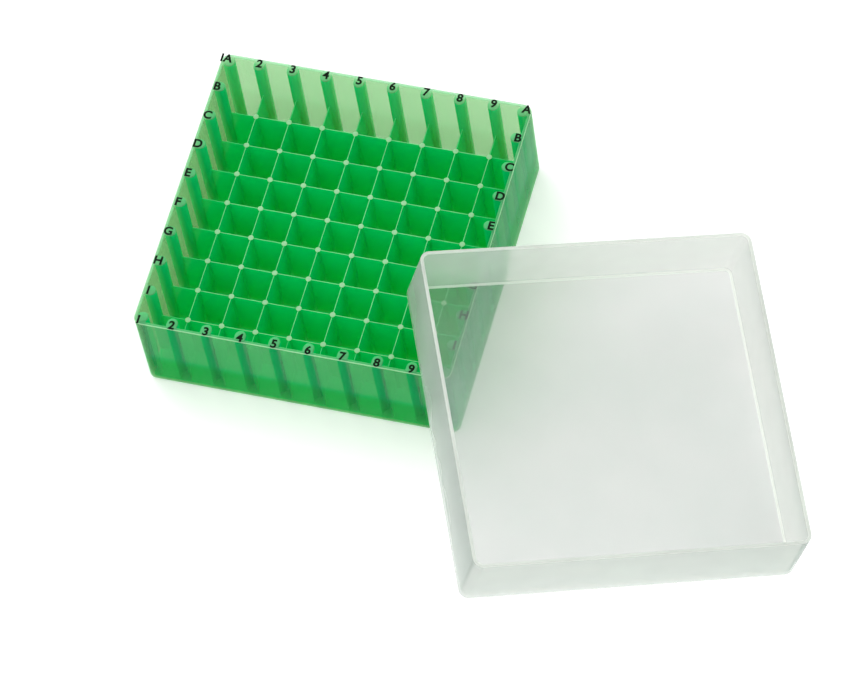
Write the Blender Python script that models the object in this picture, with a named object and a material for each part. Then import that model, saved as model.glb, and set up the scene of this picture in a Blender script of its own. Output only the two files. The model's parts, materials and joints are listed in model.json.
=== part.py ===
"""Cryogenic storage box: a 9 x 9 base with a lift-off lid that leans on the base's right rim.

Metres, +Z up. The origin is the centre of the base's underside, +X right, +Y back.
The base is one moulding in life, and so is the lid. Here the base's tray, dividers and label
posts, and the lid's plate and walls, are separate solids that stop GAP short of each other, so
that each is nearly convex and every cell and hollow stays open.
"""

import math

import bmesh
import bpy
from mathutils import Matrix, Vector

GAP = 0.0003

# Grid of cells
CELLS = 9
PITCH = 0.01396
GRID_TOP = 0.0246
DIVIDER_THICKNESS = 0.0008
PIP_RADIUS = 0.0007
PIP_RISE = 0.0003

# Base tray
BASE_WIDTH = 0.1294
BASE_HEIGHT = 0.0430
BASE_DRAFT = 0.0004
BASE_WALL = 0.0013
BASE_FLOOR = 0.0015
BASE_CORNER_RADIUS = 0.0036
BASE_FOOT_RADIUS = 0.0016
RIM_ROUNDING = 0.0003

# Label posts: a half-round tip on a straight shank that runs back to the wall
POST_WIDTH = 0.0045
POST_TIP = 0.0594
CORNER_POST_TIP = 0.0605

# Lid, a plain square tray: a plate with four walls mitred at the corners, and how it lies
LID_WIDTH = 0.1330
LID_HEIGHT = 0.0305
LID_WALL = 0.0013
LID_PLATE = 0.0013
LID_CORNER_RADIUS = 0.0040
LID_INNER_CORNER_RADIUS = 0.0012
LID_EDGE_RADIUS = 0.0015
LID_TURN = math.radians(24.6)
LID_CENTRE_X = 0.1229
LID_CENTRE_Y = -0.0648
LID_FLOOR_CLEARANCE = 0.0001

LEAST_LEAN = math.radians(5)
MOST_LEAN = math.radians(30)
LEAN_HALVINGS = 60

# Facets per quarter of a corner, per quarter of an edge and per full circle
CORNER_STEPS = 8
EDGE_STEPS = 4
ROUND_STEPS = 20
SHARP_ANGLE = math.radians(30)

GREEN = (0.05, 0.42, 0.11, 1.0)
GREEN_ROUGHNESS = 0.35
PALE_GREEN = (0.22, 0.60, 0.28, 1.0)
NATURAL = (0.80, 0.84, 0.80, 1.0)
NATURAL_ROUGHNESS = 0.4

LETTERS = "BCDEFGHI"


def make_material(name, colour, roughness):
    material = bpy.data.materials.new(name)
    material.diffuse_color = colour
    material.use_nodes = True
    shader = material.node_tree.nodes["Principled BSDF"]
    shader.inputs["Base Color"].default_value = colour
    shader.inputs["Roughness"].default_value = roughness
    shader.inputs["Metallic"].default_value = 0.0
    return material


def add_object(name, bm, material):
    """Turn a bmesh into a named, smooth-shaded object."""
    bmesh.ops.recalc_face_normals(bm, faces=bm.faces)
    mesh = bpy.data.meshes.new(name)
    bm.to_mesh(mesh)
    bm.free()
    mesh.materials.append(material)
    mesh.shade_smooth()
    mesh.set_sharp_from_angle(angle=SHARP_ANGLE)
    obj = bpy.data.objects.new(name, mesh)
    bpy.context.scene.collection.objects.link(obj)
    return obj


def rounded_square(half, radius):
    """Outline of a square with rounded corners, counter-clockwise from the right side."""
    points = []
    for quarter in range(4):
        turn = Matrix.Rotation(quarter * math.pi / 2, 2)
        for step in range(CORNER_STEPS + 1):
            angle = step / CORNER_STEPS * math.pi / 2
            corner = Vector((half - radius, half - radius))
            point = corner + radius * Vector((math.cos(angle), math.sin(angle)))
            points.append(turn @ point)
    return points


def stack_rings(rings):
    """Skin a closed solid over a run of outlines, each a list of points at one height."""
    bm = bmesh.new()
    loops = []
    for outline, height in rings:
        loops.append([bm.verts.new((p.x, p.y, height)) for p in outline])
    for lower, upper in zip(loops, loops[1:]):
        count = len(lower)
        for i in range(count):
            j = (i + 1) % count
            bm.faces.new((lower[i], lower[j], upper[j], upper[i]))
    bm.faces.new(list(reversed(loops[0])))
    bm.faces.new(loops[-1])
    return bm


def base_outer_half(z):
    return BASE_WIDTH / 2 - BASE_DRAFT * (1 - z / BASE_HEIGHT)


def base_outline(z, inset):
    """The tray's outline at one height, drawn in by inset from its outside face."""
    return rounded_square(base_outer_half(z) - inset, BASE_CORNER_RADIUS - inset)


def quarter_steps(most=math.pi / 2):
    """Angles that cut a rounded edge, or its first part, into EDGE_STEPS facets."""
    return [step / EDGE_STEPS * most for step in range(EDGE_STEPS + 1)]


def tray_rings():
    """Outlines up the outside of the open tray, over its rim and down its inside to the floor."""
    rings = []
    for angle in quarter_steps():
        z = BASE_FOOT_RADIUS * (1 - math.cos(angle))
        inset = BASE_FOOT_RADIUS * (1 - math.sin(angle))
        rings.append((base_outline(z, inset), z))
    for angle in quarter_steps():
        z = BASE_HEIGHT - RIM_ROUNDING * (1 - math.sin(angle))
        inset = RIM_ROUNDING * (1 - math.cos(angle))
        rings.append((base_outline(z, inset), z))
    for angle in quarter_steps():
        z = BASE_HEIGHT - RIM_ROUNDING * (1 - math.cos(angle))
        inset = BASE_WALL - RIM_ROUNDING * (1 - math.sin(angle))
        rings.append((base_outline(z, inset), z))
    fillet = BASE_FOOT_RADIUS / 2
    for angle in quarter_steps():
        z = BASE_FLOOR + fillet * (1 - math.sin(angle))
        inset = BASE_WALL + fillet * (1 - math.cos(angle))
        rings.append((base_outline(z, inset), z))
    return rings


def lid_rotation(lean):
    return Matrix.Rotation(lean, 4, "Y") @ Matrix.Rotation(LID_TURN, 4, "Z")


def lid_height_at_centre(lean):
    """Height of the lid plate's outer face at its centre when it lies on the base's right rim."""
    rim_x = BASE_WIDTH / 2 - RIM_ROUNDING
    rim_z = BASE_HEIGHT - RIM_ROUNDING
    reach = rim_x * math.sin(lean) + rim_z * math.cos(lean) + RIM_ROUNDING + GAP
    return (reach - LID_CENTRE_X * math.sin(lean)) / math.cos(lean)


def lid_low_point(lean):
    """Height of the lid's lowest point: the rounded corner of its plate that is on the table."""
    down = lid_rotation(lean).to_3x3().transposed() @ Vector((0, 0, -1))
    flat = math.hypot(down.x, down.y)
    drop = (LID_WIDTH / 2 - LID_CORNER_RADIUS) * (abs(down.x) + abs(down.y))
    drop += (LID_CORNER_RADIUS - LID_EDGE_RADIUS) * flat
    drop += LID_EDGE_RADIUS * (1 - abs(down.z))
    return lid_height_at_centre(lean) - drop


def find_lean():
    """Lean at which the lid touches the rim and the table at once, found by halving."""
    shallow = LEAST_LEAN
    steep = MOST_LEAN
    for _ in range(LEAN_HALVINGS):
        middle = (shallow + steep) / 2
        if lid_low_point(middle) > LID_FLOOR_CLEARANCE:
            shallow = middle
        else:
            steep = middle
    return (shallow + steep) / 2


def line_position(index):
    """Where grid line number index (1 to 8) runs, measured from the box's centre."""
    return (index - CELLS / 2) * PITCH


def inner_half(z):
    return base_outer_half(z) - BASE_WALL


def make_tray(material):
    return add_object("base_tray", stack_rings(tray_rings()), material)


def make_post(name, turn, along, tip, top_back, bottom_back, material):
    """Upright post with a half-round tip, facing the middle of the box.

    The post is drawn against the right wall, slid along it, then turned to its own wall.
    """
    radius = POST_WIDTH / 2
    bottom = BASE_FLOOR + GAP
    steps = ROUND_STEPS // 2
    rings = []
    for z, back in ((bottom, bottom_back), (BASE_HEIGHT, top_back)):
        outline = [Vector((back, -radius)), Vector((back, radius))]
        for step in range(steps + 1):
            angle = math.pi / 2 + step / steps * math.pi
            outline.append(Vector((tip + radius + radius * math.cos(angle), radius * math.sin(angle))))
        rings.append((outline, z))
    post = add_object(name, stack_rings(rings), material)
    post.matrix_world = Matrix.Rotation(turn, 4, "Z") @ Matrix.Translation((0, along, 0))
    return post


def row_letter(index):
    """Letter of the row whose rear grid line has this number, A's row being the rearmost."""
    return LETTERS[CELLS - 1 - index]


def make_label_posts(material):
    """Eight posts on each wall, named for the coordinate on their pad."""
    top_back = inner_half(BASE_HEIGHT) - GAP
    bottom_back = inner_half(0) - GAP
    walls = (("right", 0, 1), ("back", 1, -1), ("left", 2, -1), ("front", 3, 1))
    for wall, quarter, direction in walls:
        for index in range(1, CELLS):
            if wall in ("left", "right"):
                label = row_letter(index)
            else:
                label = str(index + 1)
            along = direction * line_position(index)
            make_post(
                f"label_post_{wall}_{label}",
                quarter * math.pi / 2,
                along,
                POST_TIP,
                top_back,
                bottom_back,
                material,
            )


def make_corner_posts(material):
    """A post on each diagonal, with a pointed back that fits into the tray's corner."""
    names = ("back_right", "back_left", "front_left", "front_right")
    radius = POST_WIDTH / 2
    half = inner_half(0) - GAP
    steps = ROUND_STEPS // 2
    inner_radius = BASE_CORNER_RADIUS - BASE_WALL
    arc_centre = half - inner_radius
    centre = CORNER_POST_TIP + radius * (1 - math.sqrt(0.5))
    for quarter, name in enumerate(names):
        outline = []
        for step in range(CORNER_STEPS + 1):
            angle = step / CORNER_STEPS * math.pi / 2
            offset = inner_radius * Vector((math.cos(angle), math.sin(angle)))
            outline.append(Vector((arc_centre, arc_centre)) + offset)
        for step in range(steps + 1):
            angle = 3 * math.pi / 4 + step / steps * math.pi
            offset = radius * Vector((math.cos(angle), math.sin(angle)))
            outline.append(Vector((centre, centre)) + offset)
        rings = [(outline, BASE_FLOOR + GAP), (outline, BASE_HEIGHT)]
        post = add_object(f"corner_post_{name}", stack_rings(rings), material)
        post.matrix_world = Matrix.Rotation(quarter * math.pi / 2, 4, "Z")


def slotted_outline(length_half, slot_half, slots_from_top):
    """Side view of a divider with a half-depth slot at each crossing."""
    bottom = BASE_FLOOR + GAP
    middle = (bottom + GRID_TOP) / 2
    if slots_from_top:
        edge = GRID_TOP
        depth = middle - GAP / 2
        far = bottom
    else:
        edge = bottom
        depth = middle + GAP / 2
        far = GRID_TOP
    points = [Vector((-length_half, edge))]
    for index in range(1, CELLS):
        x = line_position(index)
        points.append(Vector((x - slot_half, edge)))
        points.append(Vector((x - slot_half, depth)))
        points.append(Vector((x + slot_half, depth)))
        points.append(Vector((x + slot_half, edge)))
    points.append(Vector((length_half, edge)))
    points.append(Vector((length_half, far)))
    points.append(Vector((-length_half, far)))
    return points


def extrude_divider(name, outline, material):
    """Give a divider's side view its thickness, standing in the XZ plane."""
    bm = bmesh.new()
    front = [bm.verts.new((p.x, -DIVIDER_THICKNESS / 2, p.y)) for p in outline]
    face = bm.faces.new(front)
    pushed = bmesh.ops.extrude_face_region(bm, geom=[face])
    moved = [item for item in pushed["geom"] if isinstance(item, bmesh.types.BMVert)]
    bmesh.ops.translate(bm, verts=moved, vec=(0, DIVIDER_THICKNESS, 0))
    return add_object(name, bm, material)


def make_pins(name, bottom, top, material):
    """Eight upright pins, one for each crossing, whose tops are a row divider's pips."""
    bm = bmesh.new()
    for index in range(1, CELLS):
        place = Matrix.Translation((line_position(index), 0, (bottom + top) / 2))
        bmesh.ops.create_cone(
            bm,
            cap_ends=True,
            segments=ROUND_STEPS,
            radius1=PIP_RADIUS,
            radius2=PIP_RADIUS,
            depth=top - bottom,
            matrix=place,
        )
    pins = add_object(name, bm, material)
    pins.hide_render = True
    pins.hide_viewport = True
    pins.display_type = "WIRE"
    return pins


def make_dividers(material, pip_material):
    """Eight rows and eight columns, halved into each other, with the pips on the rows."""
    length_half = POST_TIP - GAP
    bottom = BASE_FLOOR + GAP
    middle = (bottom + GRID_TOP) / 2
    plain_slot = DIVIDER_THICKNESS / 2 + GAP
    pip_slot = PIP_RADIUS + GAP
    row_outline = slotted_outline(length_half, plain_slot, False)
    column_outline = slotted_outline(length_half, pip_slot, True)
    for index in range(1, CELLS):
        across = line_position(index)
        letter = row_letter(index)
        row = extrude_divider(f"row_divider_{letter}", row_outline, material)
        row.location = (0, across, 0)
        pins = make_pins(f"pip_pins_{letter}", middle + GAP / 2, GRID_TOP + PIP_RISE, pip_material)
        pins.location = (0, across, 0)
        join = row.modifiers.new("pips", "BOOLEAN")
        join.operation = "UNION"
        join.solver = "EXACT"
        join.object = pins
        column = extrude_divider(f"column_divider_{index + 1}", column_outline, material)
        column.rotation_euler = (0, 0, math.pi / 2)
        column.location = (across, 0, 0)


def lid_wall_outline(inset):
    """The right wall seen from above, half of each rounded corner with it, drawn in by inset."""
    outer_radius = LID_CORNER_RADIUS - inset
    outer_centre = LID_WIDTH / 2 - LID_CORNER_RADIUS
    inner_radius = LID_INNER_CORNER_RADIUS + inset
    inner_centre = LID_WIDTH / 2 - LID_WALL - LID_INNER_CORNER_RADIUS
    steps = CORNER_STEPS // 2
    mitre_gap = GAP / math.sqrt(2)
    points = []
    for radius, centre, side in (
        (outer_radius, outer_centre, -1),
        (outer_radius, outer_centre, 1),
        (inner_radius, inner_centre, 1),
        (inner_radius, inner_centre, -1),
    ):
        starts_at_mitre = len(points) in (0, 2 * (steps + 1))
        for step in range(steps + 1):
            turn = steps - step if starts_at_mitre else step
            angle = turn / steps * math.pi / 4
            x = centre + radius * math.cos(angle)
            y = centre + radius * math.sin(angle) - mitre_gap
            points.append(Vector((x, side * y)))
    return points


def make_lid(material):
    """The lid, open side up, leaning on the base's right rim with one corner on the table."""
    lean = find_lean()
    centre = (LID_CENTRE_X, LID_CENTRE_Y, lid_height_at_centre(lean))
    place = Matrix.Translation(centre) @ lid_rotation(lean)

    rings = []
    for angle in quarter_steps(math.acos(1 - LID_PLATE / LID_EDGE_RADIUS)):
        z = LID_EDGE_RADIUS * (1 - math.cos(angle))
        inset = LID_EDGE_RADIUS * (1 - math.sin(angle))
        rings.append((rounded_square(LID_WIDTH / 2 - inset, LID_CORNER_RADIUS - inset), z))
    plate = add_object("lid_plate", stack_rings(rings), material)
    plate.matrix_world = place

    rings = [(lid_wall_outline(0.0), LID_PLATE + GAP)]
    for angle in quarter_steps():
        z = LID_HEIGHT - RIM_ROUNDING * (1 - math.sin(angle))
        rings.append((lid_wall_outline(RIM_ROUNDING * (1 - math.cos(angle))), z))
    for quarter, side in enumerate(("right", "back", "left", "front")):
        wall = add_object(f"lid_wall_{side}", stack_rings(rings), material)
        wall.matrix_world = place @ Matrix.Rotation(quarter * math.pi / 2, 4, "Z")


def main():
    for obj in list(bpy.data.objects):
        bpy.data.objects.remove(obj, do_unlink=True)
    green = make_material("green_polypropylene", GREEN, GREEN_ROUGHNESS)
    pale_green = make_material("pale_green_polypropylene", PALE_GREEN, GREEN_ROUGHNESS)
    natural = make_material("natural_polypropylene", NATURAL, NATURAL_ROUGHNESS)
    make_tray(green)
    make_label_posts(green)
    make_corner_posts(green)
    make_dividers(green, pale_green)
    make_lid(natural)


main()
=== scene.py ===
"""Looks for the cryogenic storage box: a seamless green base moulding, its printed coordinates,
and a frosted lid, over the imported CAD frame. Metres, +Z up, in the CAD model's own frame."""

import json
import math

import bmesh
import bpy
from mathutils import Matrix, Vector


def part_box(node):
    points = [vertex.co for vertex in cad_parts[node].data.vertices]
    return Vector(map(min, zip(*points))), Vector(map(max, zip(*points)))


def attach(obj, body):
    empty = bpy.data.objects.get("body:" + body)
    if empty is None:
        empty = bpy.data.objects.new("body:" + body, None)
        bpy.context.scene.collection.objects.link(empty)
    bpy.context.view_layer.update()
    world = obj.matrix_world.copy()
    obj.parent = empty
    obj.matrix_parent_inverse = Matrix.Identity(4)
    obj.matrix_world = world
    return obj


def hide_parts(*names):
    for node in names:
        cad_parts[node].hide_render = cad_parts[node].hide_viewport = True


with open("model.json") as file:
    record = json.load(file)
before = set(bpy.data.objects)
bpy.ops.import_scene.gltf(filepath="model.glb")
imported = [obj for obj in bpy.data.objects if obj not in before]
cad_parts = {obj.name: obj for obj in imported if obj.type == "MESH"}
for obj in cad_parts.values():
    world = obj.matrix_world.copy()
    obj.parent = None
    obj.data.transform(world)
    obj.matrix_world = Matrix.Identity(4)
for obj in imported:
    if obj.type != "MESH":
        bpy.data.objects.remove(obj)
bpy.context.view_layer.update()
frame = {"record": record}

# Grid of cells, read from the CAD frame where it shows them
CELLS = 9
ROW_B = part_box("row_divider_B")
ROW_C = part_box("row_divider_C")
PITCH = ROW_B[0].y - ROW_C[0].y
FIRST_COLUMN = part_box("column_divider_2")
DIVIDER = FIRST_COLUMN[1].x - FIRST_COLUMN[0].x
GRID_TOP = FIRST_COLUMN[1].z

# The dividers narrow to their tops over TOP_SLOPE; pips stand on their crossings
TOP_THICKNESS = 0.0003
TOP_SLOPE = 0.0005
PIP_RADIUS = 0.00112
PIP_RISE = 0.0003
PIP_EDGE = 0.00012

# Base tray
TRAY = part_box("base_tray")
BASE_HALF = TRAY[1].x
BASE_HEIGHT = TRAY[1].z
BASE_DRAFT = 0.0004
BASE_WALL = 0.0013
BASE_FLOOR = 0.0015
BASE_CORNER_RADIUS = 0.0036
BASE_FOOT_RADIUS = 0.0016
RIM_ROUNDING = 0.0003

# Label posts, and how near a wall a face has to be to count as part of it
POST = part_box("label_post_right_E")
POST_RADIUS = (POST[1].y - POST[0].y) / 2
POST_TIP = POST[0].x
CORNER_POST_TIP = 0.0605
WALL_MARGIN = 0.0001

# Lid, with the sizes, turn, lean and place of the CAD model
LID_HALF = 0.0665
LID_HEIGHT = 0.0305
LID_WALL = 0.0013
LID_PLATE = 0.0013
LID_CORNER_RADIUS = 0.0040
LID_EDGE_RADIUS = 0.0015
LID_FILLET = LID_EDGE_RADIUS / 2
LID_TURN = math.radians(24.6)
LID_LEAN = math.radians(17.128)
LID_CENTRE = Vector((0.1229, -0.0648, 0.0253))

# Printed coordinates, on pads at CHARACTER_PLACE from the middle of the box. Offset, bevel,
# extrusion and spacing are for letters 1 high, before they are scaled and flattened.
LETTERS = "BCDEFGHI"
CHARACTER_HEIGHT = 0.0039
CHARACTER_OFFSET = 0.02
CHARACTER_BEVEL = 0.018
CHARACTER_EXTRUSION = 0.001
CHARACTER_SPACING = 0.8
CHARACTER_FLATNESS = 0.1
CHARACTER_PLACE = 0.0626
CHARACTER_RISE = 0.00003

# Camera, seen from the front and above, a little to the right
AIM = Vector((0.04443, -0.0350, 0.020))
CAMERA_AZIMUTH = math.radians(24.82)
CAMERA_ELEVATION = math.radians(58.42)
CAMERA_ROLL = math.radians(-11.25)
CAMERA_DISTANCE = 2.2016
LENS_MM = 237.1
SENSOR_MM = 36.0
VIEW_LIMIT = 20.0

# Shares of the base's height between which the outside turns from painted shade in deep green to
# painted light in pale green, and how much of the whole change happens there
PAINTED_SHADE_END = 0.36
PAINTED_LIGHT_START = 0.45
CHANGE_IN_BAND = 0.8

# Half the width of the strip of outer wall that each label post backs
POST_STRIP = 0.0017

# How finely round shapes are divided, the angle above which an edge stays sharp, and how near
# two vertices are when they are one
CORNER_STEPS = 12
EDGE_STEPS = 4
POST_STEPS = 7
PIP_STEPS = 4
SHARP_ANGLE = math.radians(35)
WELD_DISTANCE = 2e-6

# Kinds of face on the base: the outside and its strips before the label posts, the inside walls
# and their posts, the cells, the floors, the rim with its pads and its outer edge, and the tops
# of the dividers, their ends by the walls, and the pips
OUTER, OUTER_POST, WALL, POST_FACE, CELL, FLOOR, RIM, PAD, EDGE, TOP, TOP_END, PIP = range(12)

# How hazy and how pale each kind is: (haze, pale) at the table, and at the height of the rim.
# A haze of 1 hides what is behind. A paleness of -1 is deep green, 0 is green and 1 is pale.
# Paleness is painted light and shade. The rim, its outer edge, the pads, the pips and the divider
# tops get painted highlights, and the inside walls get painted light. The outer wall gets painted
# shade low down and painted light high up, with little before the posts. The cells get painted
# shade that deepens upwards.
HAZE_AND_PAINTED_LIGHT = {
    OUTER: ((0.33, -1.0), (0.30, 0.50)),
    OUTER_POST: ((0.33, -1.0), (0.34, -0.1)),
    WALL: ((0.13, 0.3), (0.17, 0.40)),
    POST_FACE: ((0.60, 0.0), (0.60, 0.0)),
    CELL: ((0.75, 0.10), (0.50, -0.80)),
    FLOOR: ((0.85, 0.0), (0.85, 0.0)),
    RIM: ((0.40, 0.45), (0.40, 0.45)),
    PAD: ((0.50, 0.50), (0.50, 0.50)),
    EDGE: ((0.85, 1.0), (0.85, 1.0)),
    TOP: ((0.90, 0.60), (0.90, 0.60)),
    TOP_END: ((0.70, 0.25), (0.70, 0.25)),
    PIP: ((1.00, 1.0), (1.00, 1.0)),
}

# Kinds of face on the lid, which are also its material slots
LID_PLATE_FACE, LID_SIDE, LID_EDGE = range(3)

# Green plastic. The volume takes (1 - GREEN_PASSED) x GREEN_DENSITY of the light per metre, and
# GREEN_THROUGH is the share of the light in the haze that goes on through it.
GREEN_PASSED = (0.225, 0.486, 0.0, 1.0)
GREEN_DENSITY = 350.0
# Paleness -1, 0 and 1: painted shade in deep green, the plastic's own green, and painted
# highlight in pale green
PAINTED_SHADE_GREEN = (0.0, 0.72, 0.14, 1.0)
GREEN = (0.0, 1.0, 0.38, 1.0)
PAINTED_HIGHLIGHT_GREEN = (0.60, 0.94, 0.62, 1.0)
GREEN_SHINE = (0.58, 1.0, 0.74, 1.0)
GREEN_SHADOW = (0.95, 0.99, 0.95, 1.0)
GREEN_THROUGH = 0.5
GREEN_MOTTLE = 0.05
GREEN_ROUGHNESS = 0.22
GREEN_HEAD_ON_SHINE = 0.006

# Frosted plastic: what it lets through, its shine and its shadow, and for each of its three
# materials how much cloud covers it, how much of the cloud's light goes on through, and the
# cloud's colour. The green-blue tint of the clouds is painted green light from the base below.
# The dense, near-white cloud on the edges is a painted highlight along the rim and the fillet.
FROST_PASSED = (0.915, 0.877, 0.883, 1.0)
FROST_SHINE = (0.92, 1.0, 0.97, 1.0)
FROST_SHADOW = (0.93, 0.94, 0.93, 1.0)
FROST_BLUR = 0.25
FROST_IOR = 1.06
FROST_MOTTLE = 0.1
FROST_ROUGHNESS = 0.27
FROST_HEAD_ON_SHINE = 0.045
FROSTED = {
    "natural_plate": (0.22, 0.80, (0.60, 0.77, 0.71, 1.0)),
    "natural_walls": (0.38, 0.65, (0.73, 0.82, 0.76, 1.0)),
    "natural_edges": (0.75, 0.50, (0.93, 0.97, 0.91, 1.0)),
}

# Noise values that a finish follows; the noise seldom leaves them
NOISE_LOW = 0.3
NOISE_HIGH = 0.7

# Depth of the moulded surface's unevenness, and how much of it is fine grain
BUMP_DEPTH = 0.0004
GRAIN_SHARE = 0.12

# Share of light mirrored at a glancing angle, and the power with which it falls off head-on
GLANCING_SHINE = 0.5
SHINE_FALL_OFF = 5.0

INK = (0.001, 0.002, 0.001, 1.0)
WORN_INK = (0.006, 0.014, 0.008, 1.0)
INK_ROUGHNESS = 0.6
INK_SHINE = 0.05

# Floor, and how strongly it glows from below
FLOOR_SIZE = 4.0
FLOOR_DROP = 0.0002
FLOOR_DARKER = (0.90, 0.90, 0.90, 1.0)
FLOOR_LIGHTER = (0.93, 0.93, 0.93, 1.0)
TABLE_GLOW = 0.26

# Light: a white room, and one big soft lamp from behind on the left
ROOM_WHITE = (1.0, 1.0, 1.0, 1.0)
ROOM_STRENGTH = 1.06
LAMP_PLACE = Vector((-0.9, 0.8, 1.6))
LAMP_TARGET = Vector((0.04, -0.03, 0.0))
LAMP_SIZE = 1.2
LAMP_POWER = 9.0


# Outlines

def line_position(index):
    """Where grid line number index runs; lines 1 to 8 are dividers."""
    return (index - CELLS / 2) * PITCH


def inner_half(z):
    """Half the inside width between the walls at height z."""
    return BASE_HALF - BASE_DRAFT * (1 - z / BASE_HEIGHT) - BASE_WALL


def arc(centre, radius, start, end, steps):
    """Points on an arc between two angles in degrees, both ends included."""
    points = []
    for step in range(steps + 1):
        angle = math.radians(start + (end - start) * step / steps)
        points.append(centre + radius * Vector((math.cos(angle), math.sin(angle))))
    return points


def turned(points, quarter):
    """The points turned about Z by a number of quarter turns, counter-clockwise."""
    turn = Matrix.Rotation(quarter * math.pi / 2, 2)
    return [turn @ point for point in points]


def rounded_square(half, radius, stops=()):
    """A square with round corners, and with extra points on its sides at the stops."""
    points = []
    for quarter in range(4):
        corner = Vector((half - radius, half - radius))
        side = arc(corner, radius, 0, 90, CORNER_STEPS)
        side += [Vector((-stop, half)) for stop in stops]
        points += turned(side, quarter)
    return points


def half_posts(line, z, grow, thickness):
    """A label post's outline against the right wall, in two halves that meet at its divider.

    Where the rim is rounded the opening is wider by `grow`. The divider is `thickness` wide.
    """
    radius = POST_RADIUS - grow
    wall = inner_half(z) + grow
    centre = Vector((POST_TIP + POST_RADIUS, line_position(line)))
    divider_angle = math.degrees(math.asin(thickness / 2 / radius))
    before = [Vector((wall, centre.y - radius))]
    before += arc(centre, radius, 270, 180 + divider_angle, POST_STEPS)
    after = arc(centre, radius, 180 - divider_angle, 90, POST_STEPS)
    after.append(Vector((wall, centre.y + radius)))
    return before, after


def corner_post(z, grow):
    """The corner post's outline in the back right corner."""
    wall = inner_half(z) + grow
    middle = CORNER_POST_TIP + POST_RADIUS * (1 - math.sqrt(0.5))
    centre = Vector((middle, middle))
    points = arc(centre, POST_RADIUS - grow, 315, 135, 2 * POST_STEPS)
    return [Vector((wall, points[0].y)), *points, Vector((points[-1].x, wall))]


def inside_outline(z, grow=0.0):
    """The inside of the walls with all their posts, counter-clockwise from the right wall."""
    points = []
    for quarter in range(4):
        side = []
        for line in range(1, CELLS):
            before, after = half_posts(line, z, grow, TOP_THICKNESS)
            side += before + after
        points += turned(side + corner_post(z, grow), quarter)
    return points


# Quarter turns from the right wall to the wall on a grid line: (whether it is a side, line)
WALL_NUMBER = {(True, CELLS): 0, (False, CELLS): 1, (True, 0): 2, (False, 0): 3}


def cell_corner(column, row, corner, z, thickness):
    """Outline of one corner of a cell, where grid lines column and row cross.

    Corners count 0 to 3 from the cell's front left, counter-clockwise. Lines 0 and 9 are walls.
    """
    on_side = column in (0, CELLS)
    on_end = row in (0, CELLS)
    if on_side and on_end:
        return turned(corner_post(z, 0.0), corner - 2)
    if on_side or on_end:
        wall = WALL_NUMBER[on_side, column if on_side else row]
        line = (row, CELLS - column, CELLS - row, column)[wall]
        before, after = half_posts(line, z, 0.0, thickness)
        half = after if corner == (wall + 1) % 4 else before
        return turned(half, wall)
    centre = Vector((line_position(column), line_position(row)))
    divider_angle = math.degrees(math.asin(thickness / 2 / PIP_RADIUS))
    start = 90 * (corner + 1) - divider_angle
    end = 90 * corner + divider_angle
    return arc(centre, PIP_RADIUS, start, end, PIP_STEPS)


def cell_outline(column, row, z, thickness):
    """Counter-clockwise outline of the cell to the right of line column and behind line row."""
    points = []
    for corner, (across, along) in enumerate(((0, 0), (1, 0), (1, 1), (0, 1))):
        points += cell_corner(column + across, row + along, corner, z, thickness)
    return points


# Mesh building

def add_loop(bm, outline, z):
    """The vertices of a closed outline at height z."""
    return [bm.verts.new((point.x, point.y, z)) for point in outline]


def skin(bm, loops, kind=0):
    """Join a run of loops that all have the same number of points, with faces of one kind."""
    faces = []
    for lower, upper in zip(loops, loops[1:]):
        for i in range(len(lower)):
            j = (i + 1) % len(lower)
            faces.append(bm.faces.new((lower[i], lower[j], upper[j], upper[i])))
            faces[-1].material_index = kind
    return faces


def fill_between(bm, outer, inner):
    """Fill the flat band between two loops."""
    edges = []
    for loop in (outer, inner):
        for i in range(len(loop)):
            edges.append(bm.edges.get((loop[i], loop[(i + 1) % len(loop)])))
    filled = bmesh.ops.triangle_fill(bm, edges=edges, use_beauty=True)
    return [item for item in filled["geom"] if isinstance(item, bmesh.types.BMFace)]


def add_piece(name, bm, materials, body):
    """Weld the mesh shut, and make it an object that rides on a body."""
    bmesh.ops.remove_doubles(bm, verts=bm.verts, dist=WELD_DISTANCE)
    bmesh.ops.recalc_face_normals(bm, faces=bm.faces)
    mesh = bpy.data.meshes.new(name)
    bm.to_mesh(mesh)
    bm.free()
    for material in materials:
        mesh.materials.append(material)
    mesh.shade_smooth()
    mesh.set_sharp_from_angle(angle=SHARP_ANGLE)
    piece = bpy.data.objects.new(name, mesh)
    bpy.context.scene.collection.objects.link(piece)
    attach(piece, body)
    return piece


# Base moulding

def outer_rings(half, height, draft, corner_radius, edge_radius, rim_radius, stops=()):
    """Outlines up the outside of a tray, from its flat underside to the top of its rim."""
    rings = []
    for step in range(EDGE_STEPS + 1):
        angle = step / EDGE_STEPS * math.pi / 2
        z = edge_radius * (1 - math.cos(angle))
        inset = edge_radius * (1 - math.sin(angle))
        inset += draft * (1 - z / height)
        rings.append((rounded_square(half - inset, corner_radius - inset, stops), z))
    for step in range(EDGE_STEPS + 1):
        angle = step / EDGE_STEPS * math.pi / 2
        z = height - rim_radius * (1 - math.sin(angle))
        inset = rim_radius * (1 - math.cos(angle))
        rings.append((rounded_square(half - inset, corner_radius - inset, stops), z))
    return rings


def inside_kind(face):
    """Whether a face inside the tray belongs to the tray's wall, to a post or to a cell."""
    middle = face.calc_center_median()
    reach = max(abs(middle.x), abs(middle.y))
    if reach > inner_half(middle.z) - WALL_MARGIN:
        return WALL
    return POST_FACE if reach > POST_TIP else CELL


def post_edges():
    """Where the strips of outer wall before the posts begin and end, along a side."""
    edges = []
    for line in range(1, CELLS):
        edges += [line_position(line) - POST_STRIP, line_position(line) + POST_STRIP]
    return edges


def before_post(face):
    """Whether a face of the outer wall has a label post right behind it."""
    middle = face.calc_center_median()
    along = min(abs(middle.x), abs(middle.y))
    return any(abs(along - line_position(line)) < POST_STRIP for line in range(1, CELLS))


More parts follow.
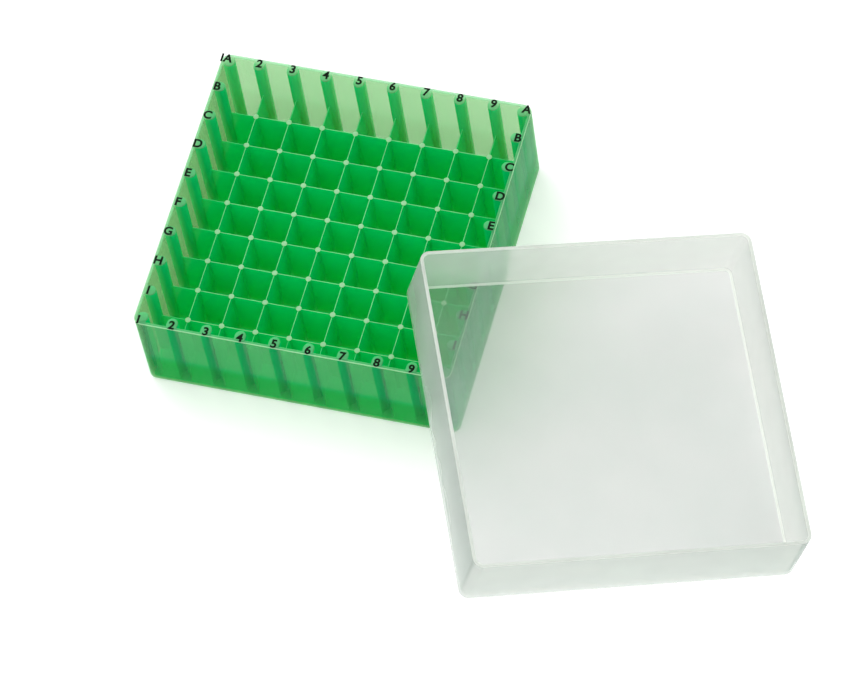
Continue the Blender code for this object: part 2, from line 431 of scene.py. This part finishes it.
def wall_bands(bm, bottom, top):
    """Loops up the outside of the wall, so that its lower part can take painted shade in a deeper
    green.
    """
    loops = [bottom]
    for height in (PAINTED_SHADE_END, PAINTED_LIGHT_START):
        share = (height * BASE_HEIGHT - bottom[0].co.z) / (top[0].co.z - bottom[0].co.z)
        loops.append([bm.verts.new(a.co.lerp(b.co, share)) for a, b in zip(bottom, top)])
    return loops + [top]


def add_walls(bm):
    """The tray's outside, its rim with the pads, and the inside down to the grid."""
    rings = outer_rings(
        BASE_HALF,
        BASE_HEIGHT,
        BASE_DRAFT,
        BASE_CORNER_RADIUS,
        BASE_FOOT_RADIUS,
        RIM_ROUNDING,
        post_edges(),
    )
    outside = [add_loop(bm, outline, z) for outline, z in rings]
    bm.faces.new(list(reversed(outside[0]))).material_index = FLOOR
    skin(bm, outside[: EDGE_STEPS + 1], OUTER)
    for face in skin(bm, wall_bands(bm, outside[EDGE_STEPS], outside[EDGE_STEPS + 1])):
        face.material_index = OUTER_POST if before_post(face) else OUTER
    skin(bm, outside[EDGE_STEPS + 1 :], EDGE)
    inside = [add_loop(bm, inside_outline(GRID_TOP), GRID_TOP)]
    for step in range(EDGE_STEPS + 1):
        angle = step / EDGE_STEPS * math.pi / 2
        z = BASE_HEIGHT - RIM_ROUNDING * (1 - math.sin(angle))
        grow = RIM_ROUNDING * (1 - math.cos(angle))
        inside.append(add_loop(bm, inside_outline(z, grow), z))
    for face in skin(bm, inside[:2]):
        face.material_index = inside_kind(face)
    skin(bm, inside[1:], RIM)
    for face in fill_between(bm, outside[-1], inside[-1]):
        face.material_index = RIM if inside_kind(face) == WALL else PAD


def add_cells(bm):
    """The walls and floor of every cell, up to the narrow tops of the dividers."""
    for column in range(CELLS):
        for row in range(CELLS):
            loops = []
            for z, thickness in (
                (BASE_FLOOR, DIVIDER),
                (GRID_TOP - TOP_SLOPE, DIVIDER),
                (GRID_TOP, TOP_THICKNESS),
            ):
                loops.append(add_loop(bm, cell_outline(column, row, z, thickness), z))
            for face in skin(bm, loops):
                face.material_index = inside_kind(face)
            bm.faces.new(loops[0]).material_index = FLOOR


def add_pips(bm):
    """A round pip on each crossing, with gaps in its foot where the dividers' tops meet it."""
    divider_angle = math.degrees(math.asin(TOP_THICKNESS / 2 / PIP_RADIUS))
    for column in range(1, CELLS):
        for row in range(1, CELLS):
            centre = Vector((line_position(column), line_position(row)))
            loops = []
            levels = (
                (PIP_RADIUS, 0.0),
                (PIP_RADIUS, PIP_RISE - PIP_EDGE),
                (PIP_RADIUS - PIP_EDGE, PIP_RISE),
            )
            for radius, rise in levels:
                outline = []
                for quarter in range(4):
                    start = 90 * quarter + divider_angle
                    end = 90 * (quarter + 1) - divider_angle
                    outline += arc(centre, radius, start, end, PIP_STEPS)
                loops.append(add_loop(bm, outline, GRID_TOP + rise))
            skin(bm, loops, PIP)
            bm.faces.new(loops[-1]).material_index = PIP


def divider_end(line, across, side):
    """The two corners of a divider's top where it leaves grid line `line`, towards side +1 or -1.

    The divider runs along X at Y = across.
    """
    if line in (0, CELLS):
        before, after = half_posts(1, GRID_TOP, 0.0, TOP_THICKNESS)
        reach = after[0].x if line == CELLS else -after[0].x
    else:
        reach = line_position(line) + side * math.sqrt(PIP_RADIUS**2 - TOP_THICKNESS**2 / 4)
    half = TOP_THICKNESS / 2
    return Vector((reach, across - half)), Vector((reach, across + half))


def add_divider_tops(bm):
    """The flat tops of the dividers between the pips, first the rows and then the columns."""
    for quarter in (0, 1):
        for row in range(1, CELLS):
            across = line_position(row)
            for column in range(CELLS):
                left = divider_end(column, across, 1)
                right = divider_end(column + 1, across, -1)
                outline = turned((left[0], right[0], right[1], left[1]), quarter)
                face = bm.faces.new(add_loop(bm, outline, GRID_TOP))
                face.material_index = TOP if 0 < column < CELLS - 1 else TOP_END


def share_of_rise(kind, height):
    """How far up its range a face's haze and painted light have come; the outer wall changes in
    one short band.
    """
    if kind not in (OUTER, OUTER_POST):
        return height
    band = (height - PAINTED_SHADE_END) / (PAINTED_LIGHT_START - PAINTED_SHADE_END)
    return CHANGE_IN_BAND * min(max(band, 0.0), 1.0) + (1 - CHANGE_IN_BAND) * height


def record_haze_and_painted_light(mesh):
    """Turn the kinds of face into numbers that the material reads, and give all faces slot 0."""
    haze = mesh.attributes.new("haze", "FLOAT", "CORNER")
    # The pale attribute carries each corner's painted light and shade
    pale = mesh.attributes.new("pale", "FLOAT", "CORNER")
    for face in mesh.polygons:
        kind = face.material_index
        low, high = HAZE_AND_PAINTED_LIGHT[kind]
        for corner in face.loop_indices:
            height = mesh.vertices[mesh.loops[corner].vertex_index].co.z / BASE_HEIGHT
            share = share_of_rise(kind, height)
            haze.data[corner].value = low[0] + (high[0] - low[0]) * share
            pale.data[corner].value = low[1] + (high[1] - low[1]) * share
        face.material_index = 0


def make_base(material):
    """The whole base as one closed skin, in place of the CAD model's 53 nodes."""
    bm = bmesh.new()
    add_walls(bm)
    add_cells(bm)
    add_pips(bm)
    add_divider_tops(bm)
    piece = add_piece("base_moulding", bm, [material], "base")
    record_haze_and_painted_light(piece.data)
    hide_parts(*frame["record"]["behaviour"]["bodies"]["base"])


# Printed coordinates

def character_mesh(text):
    """A character in the built-in typeface, made bolder, as a thin solid about its middle."""
    curve = bpy.data.curves.new("character", "FONT")
    curve.body = text
    curve.offset = CHARACTER_OFFSET
    curve.bevel_depth = CHARACTER_BEVEL
    curve.bevel_resolution = 0
    curve.extrude = CHARACTER_EXTRUSION
    curve.size = 1.0
    curve.space_character = CHARACTER_SPACING
    holder = bpy.data.objects.new("character", curve)
    bpy.context.scene.collection.objects.link(holder)
    bpy.context.view_layer.update()
    evaluated = holder.evaluated_get(bpy.context.evaluated_depsgraph_get())
    mesh = bpy.data.meshes.new_from_object(evaluated)
    bpy.data.objects.remove(holder)
    bpy.data.curves.remove(curve)
    low = Vector((min(v.co.x for v in mesh.vertices), min(v.co.y for v in mesh.vertices)))
    high = Vector((max(v.co.x for v in mesh.vertices), max(v.co.y for v in mesh.vertices)))
    scale = CHARACTER_HEIGHT / (high.y - low.y)
    middle = (low + high) / 2
    flat = Matrix.Diagonal((scale, scale, scale * CHARACTER_FLATNESS, 1.0))
    mesh.transform(flat @ Matrix.Translation((-middle.x, -middle.y, 0)))
    return mesh


def coordinate_places():
    """Each printed coordinate and the middle of its pad."""
    places = []
    for index, letter in enumerate(LETTERS):
        y = line_position(CELLS - 1 - index)
        places.append((letter, -CHARACTER_PLACE, y))
        places.append((letter, CHARACTER_PLACE, y))
    for line in range(1, CELLS):
        places.append((str(line + 1), line_position(line), CHARACTER_PLACE))
        places.append((str(line + 1), line_position(line), -CHARACTER_PLACE))
    places.append(("1A", -CHARACTER_PLACE, CHARACTER_PLACE))
    places.append(("A", CHARACTER_PLACE, CHARACTER_PLACE))
    places.append(("1", -CHARACTER_PLACE, -CHARACTER_PLACE))
    return places


def make_coordinates(material):
    """All the printing on the pads, as one piece."""
    bm = bmesh.new()
    for text, x, y in coordinate_places():
        mesh = character_mesh(text)
        mesh.transform(Matrix.Translation((x, y, BASE_HEIGHT + CHARACTER_RISE)))
        bm.from_mesh(mesh)
        bpy.data.meshes.remove(mesh)
    return add_piece("printed_coordinates", bm, [material], "base")


# Lid

def lid_inside():
    """Outlines from the top of the lid's rim down its inside to the plate."""
    rings = []
    for step in range(EDGE_STEPS + 1):
        angle = step / EDGE_STEPS * math.pi / 2
        z = LID_HEIGHT - RIM_ROUNDING * (1 - math.cos(angle))
        inset = LID_WALL - RIM_ROUNDING * (1 - math.sin(angle))
        rings.append((rounded_square(LID_HALF - inset, LID_CORNER_RADIUS - inset), z))
    for step in range(EDGE_STEPS + 1):
        angle = step / EDGE_STEPS * math.pi / 2
        z = LID_PLATE + LID_FILLET * (1 - math.sin(angle))
        inset = LID_WALL + LID_FILLET * (1 - math.cos(angle))
        rings.append((rounded_square(LID_HALF - inset, LID_CORNER_RADIUS - inset), z))
    return rings


def make_lid(materials):
    """The lid as one closed skin, turned and leaned as it lies, in place of its five nodes."""
    bm = bmesh.new()
    rings = outer_rings(
        LID_HALF, LID_HEIGHT, 0.0, LID_CORNER_RADIUS, LID_EDGE_RADIUS, RIM_ROUNDING
    )
    loops = [add_loop(bm, outline, z) for outline, z in rings + lid_inside()]
    # The loops come in four rounded edges: the outer edge of the plate, the outer and the inner
    # side of the rim, and the fillet
    rounding = EDGE_STEPS + 1
    rim_start, rim_end, fillet_start = rounding, 3 * rounding - 1, 3 * rounding
    bm.faces.new(list(reversed(loops[0]))).material_index = LID_PLATE_FACE
    skin(bm, loops[: rim_start + 1], LID_SIDE)
    skin(bm, loops[rim_start : rim_end + 1], LID_EDGE)
    skin(bm, loops[rim_end : fillet_start + 1], LID_SIDE)
    skin(bm, loops[fillet_start:], LID_EDGE)
    bm.faces.new(loops[-1]).material_index = LID_PLATE_FACE
    place = Matrix.Translation(LID_CENTRE)
    place = place @ Matrix.Rotation(LID_LEAN, 4, "Y") @ Matrix.Rotation(LID_TURN, 4, "Z")
    bm.transform(place)
    lid = add_piece("lid_moulding", bm, materials, "lid")
    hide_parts(*frame["record"]["behaviour"]["bodies"]["lid"])


# Materials

class Shader:
    """One material, and what adds and links its nodes."""

    def __init__(self, name):
        self.material = bpy.data.materials.new(name)
        self.material.use_nodes = True
        self.tree = self.material.node_tree
        self.tree.nodes.clear()
        self.output = self.tree.nodes.new("ShaderNodeOutputMaterial")

    def add(self, kind, values=None, **settings):
        """Add a node, set its properties, and set or link its inputs."""
        node = self.tree.nodes.new(kind)
        for name, value in settings.items():
            setattr(node, name, value)
        for name, value in (values or {}).items():
            if isinstance(value, bpy.types.NodeSocket):
                self.tree.links.new(value, node.inputs[name])
            else:
                node.inputs[name].default_value = value
        return node

    def mix(self, share, first, second):
        """Mix of two shaders' outputs; share is how much of the second there is."""
        return self.add("ShaderNodeMixShader", {"Fac": share, 1: first, 2: second}).outputs[0]

    def math(self, operation, *values):
        """The result of a calculation; each value is a number or a socket."""
        return self.add("ShaderNodeMath", dict(enumerate(values)), operation=operation).outputs[0]

    def noise(self, scale, detail, stretch=1.0):
        """Noise in the piece's own space, drawn out along Z by stretch."""
        where = self.add("ShaderNodeTexCoord").outputs["Object"]
        placed = self.add("ShaderNodeMapping", {"Vector": where, "Scale": (1, 1, 1 / stretch)})
        values = {"Vector": placed.outputs[0], "Scale": scale, "Detail": detail}
        return self.add("ShaderNodeTexNoise", values).outputs[0]

    def varied(self, noise, least, most):
        """A number that follows the noise between two values."""
        values = {"Value": noise, "To Min": least, "To Max": most}
        values.update({"From Min": NOISE_LOW, "From Max": NOISE_HIGH})
        return self.add("ShaderNodeMapRange", values).outputs[0]

    def ramp(self, place, *stops):
        """A colour that runs evenly through the stops as place goes from 0 to 1."""
        node = self.add("ShaderNodeValToRGB", {"Fac": place})
        elements = node.color_ramp.elements
        elements[0].color = stops[0]
        elements[1].color = stops[-1]
        for index, stop in enumerate(stops[1:-1], start=1):
            elements.new(index / (len(stops) - 1)).color = stop
        return node.outputs["Color"]

    def finish(self, surface, volume=None):
        """Link what the material shows, and return it."""
        self.tree.links.new(surface, self.output.inputs["Surface"])
        if volume is not None:
            self.tree.links.new(volume, self.output.inputs["Volume"])
        return self.material


def gloss_share(shader, head_on):
    """How much of the light the surface mirrors: little head-on, more at a glancing angle."""
    facing = shader.add("ShaderNodeLayerWeight", {"Blend": 0.5}).outputs["Facing"]
    power = shader.math("POWER", facing, SHINE_FALL_OFF)
    return shader.math("MULTIPLY_ADD", power, GLANCING_SHINE, head_on)


def moulded_bump(shader, grain, waves, strength):
    """Fine mould grain over broad, shallow waves; grain and waves are noise scales."""
    fine = shader.noise(grain, 3.0)
    broad = shader.noise(waves, 1.0)
    height = shader.math("MULTIPLY_ADD", fine, GRAIN_SHARE, broad)
    values = {"Height": height, "Strength": strength, "Distance": BUMP_DEPTH}
    return shader.add("ShaderNodeBump", values).outputs["Normal"]


def glossy(shader, colour, roughness, normal):
    """The soft mirror image on the plastic's surface."""
    values = {"Color": colour, "Roughness": roughness, "Normal": normal}
    return shader.add("ShaderNodeBsdfGlossy", values).outputs[0]


def cloudiness(shader, colour, share_through, normal):
    """Light scattered by the haze in the plastic, partly back and partly on through."""
    values = {"Color": colour, "Normal": normal}
    back = shader.add("ShaderNodeBsdfDiffuse", values).outputs[0]
    on = shader.add("ShaderNodeBsdfTranslucent", values).outputs[0]
    return shader.mix(share_through, back, on)


def lets_lamps_through(shader, surface, tint):
    """Lets light reach what is behind a thin wall instead of casting a hard shadow."""
    passed = shader.add("ShaderNodeBsdfTransparent", {"Color": tint}).outputs[0]
    is_shadow = shader.add("ShaderNodeLightPath").outputs["Is Shadow Ray"]
    return shader.mix(is_shadow, surface, passed)


def green_plastic():
    """Clear green polypropylene, tinted by its thickness, with a haze that follows the mesh.

    The mesh says how hazy each face is, and how pale. Paleness is painted light and shade. The
    painted highlights on edges and tops stand for light that runs inside the plastic and comes
    out there, and painted shade in deeper green lies low on the outer wall and high in the cells.
    """
    shader = Shader("green_polypropylene")
    normal = moulded_bump(shader, grain=1800.0, waves=60.0, strength=0.06)
    clear = shader.add("ShaderNodeBsdfTransparent", {"Color": (1.0, 1.0, 1.0, 1.0)}).outputs[0]
    pale = shader.add("ShaderNodeAttribute", attribute_name="pale").outputs["Fac"]
    # Paleness, the painted light and shade, runs from -1 to 1, and the ramp from 0 to 1
    place = shader.math("MULTIPLY_ADD", pale, 0.5, 0.5)
    colour = shader.ramp(place, PAINTED_SHADE_GREEN, GREEN, PAINTED_HIGHLIGHT_GREEN)
    cloudy = cloudiness(shader, colour, GREEN_THROUGH, normal)
    haze = shader.add("ShaderNodeAttribute", attribute_name="haze").outputs["Fac"]
    streaks = shader.noise(scale=60.0, detail=1.0, stretch=4.0)
    mottle = shader.varied(streaks, 1 - GREEN_MOTTLE, 1 + GREEN_MOTTLE)
    body = shader.mix(shader.math("MULTIPLY", haze, mottle), clear, cloudy)
    shine = glossy(shader, GREEN_SHINE, GREEN_ROUGHNESS, normal)
    surface = shader.mix(gloss_share(shader, GREEN_HEAD_ON_SHINE), body, shine)
    seen = lets_lamps_through(shader, surface, GREEN_SHADOW)
    tint = {"Color": GREEN_PASSED, "Density": GREEN_DENSITY}
    absorbing = shader.add("ShaderNodeVolumeAbsorption", tint).outputs[0]
    return shader.finish(seen, absorbing)


def frosted_plastic(name, cover, share_through, colour):
    """Natural polypropylene: milky, and what lies behind it blurs with distance."""
    shader = Shader(name)
    normal = moulded_bump(shader, grain=2200.0, waves=45.0, strength=0.15)
    blurred = {"Color": FROST_PASSED, "Roughness": FROST_BLUR, "IOR": FROST_IOR}
    blurred["Normal"] = normal
    frosted = shader.add("ShaderNodeBsdfRefraction", blurred).outputs[0]
    cloudy = cloudiness(shader, colour, share_through, normal)
    clouds = shader.noise(scale=30.0, detail=2.0)
    haze = shader.varied(clouds, cover * (1 - FROST_MOTTLE), cover * (1 + FROST_MOTTLE))
    body = shader.mix(haze, frosted, cloudy)
    shine = glossy(shader, FROST_SHINE, FROST_ROUGHNESS, normal)
    surface = shader.mix(gloss_share(shader, FROST_HEAD_ON_SHINE), body, shine)
    return shader.finish(lets_lamps_through(shader, surface, FROST_SHADOW))


def black_print():
    """Matt black ink, worn a little thin in places."""
    shader = Shader("black_print")
    colour = shader.ramp(shader.noise(scale=1500.0, detail=2.0), INK, WORN_INK)
    matt = {"Base Color": colour, "Roughness": INK_ROUGHNESS, "Specular IOR Level": INK_SHINE}
    return shader.finish(shader.add("ShaderNodeBsdfPrincipled", matt).outputs[0])


def pale_floor():
    """White acrylic of a light table, lit softly from below."""
    shader = Shader("pale_floor")
    colour = shader.ramp(shader.noise(scale=6.0, detail=2.0), FLOOR_DARKER, FLOOR_LIGHTER)
    acrylic = shader.add("ShaderNodeBsdfDiffuse", {"Color": colour})
    glow = shader.add("ShaderNodeEmission", {"Color": colour, "Strength": TABLE_GLOW})
    both = shader.add("ShaderNodeAddShader", {0: acrylic.outputs[0], 1: glow.outputs[0]})
    return shader.finish(both.outputs[0])


# Studio

def make_floor(material):
    """The table, just under the object and wide enough to fill the picture."""
    bm = bmesh.new()
    bmesh.ops.create_grid(bm, x_segments=1, y_segments=1, size=FLOOR_SIZE)
    mesh = bpy.data.meshes.new("floor")
    bm.to_mesh(mesh)
    bm.free()
    mesh.materials.append(material)
    floor = bpy.data.objects.new("floor", mesh)
    floor.location.z = -FLOOR_DROP
    bpy.context.scene.collection.objects.link(floor)


def aim(obj, place, target, roll=0.0):
    """Put a camera or lamp at a place, turn it to a target, and roll it about its own view."""
    obj.location = place
    look = (target - place).to_track_quat("-Z", "Y").to_matrix().to_4x4()
    obj.rotation_euler = (look @ Matrix.Rotation(roll, 4, "Z")).to_euler()


def make_lamp():
    """The one soft lamp, which gives the shine and the faint shadows."""
    light = bpy.data.lights.new("key_softbox", "AREA")
    light.shape = "DISK"
    light.size = LAMP_SIZE
    light.energy = LAMP_POWER
    lamp = bpy.data.objects.new("key_softbox", light)
    bpy.context.scene.collection.objects.link(lamp)
    aim(lamp, LAMP_PLACE, LAMP_TARGET)


def make_room():
    """White light from all round, and settings under which white stays white."""
    world = bpy.data.worlds.new("soft_white_room")
    world.use_nodes = True
    background = world.node_tree.nodes["Background"]
    background.inputs["Color"].default_value = ROOM_WHITE
    background.inputs["Strength"].default_value = ROOM_STRENGTH
    scene = bpy.context.scene
    scene.world = world
    scene.view_settings.view_transform = "Standard"
    # A low view crosses up to 16 dividers and two walls of the base, with two faces each
    scene.cycles.transparent_max_bounces = 64


def make_camera():
    """The photograph's point of view."""
    camera = bpy.data.cameras.new("camera")
    camera.lens = LENS_MM
    camera.sensor_width = SENSOR_MM
    camera.clip_end = VIEW_LIMIT
    holder = bpy.data.objects.new("camera", camera)
    bpy.context.scene.collection.objects.link(holder)
    level = math.cos(CAMERA_ELEVATION)
    back = Vector(
        (
            math.sin(CAMERA_AZIMUTH) * level,
            -math.cos(CAMERA_AZIMUTH) * level,
            math.sin(CAMERA_ELEVATION),
        )
    )
    aim(holder, AIM + CAMERA_DISTANCE * back, AIM, CAMERA_ROLL)
    bpy.context.scene.camera = holder


make_room()
make_lamp()
make_camera()
make_floor(pale_floor())
make_base(green_plastic())
make_coordinates(black_print())
make_lid([frosted_plastic(name, *finish) for name, finish in FROSTED.items()])
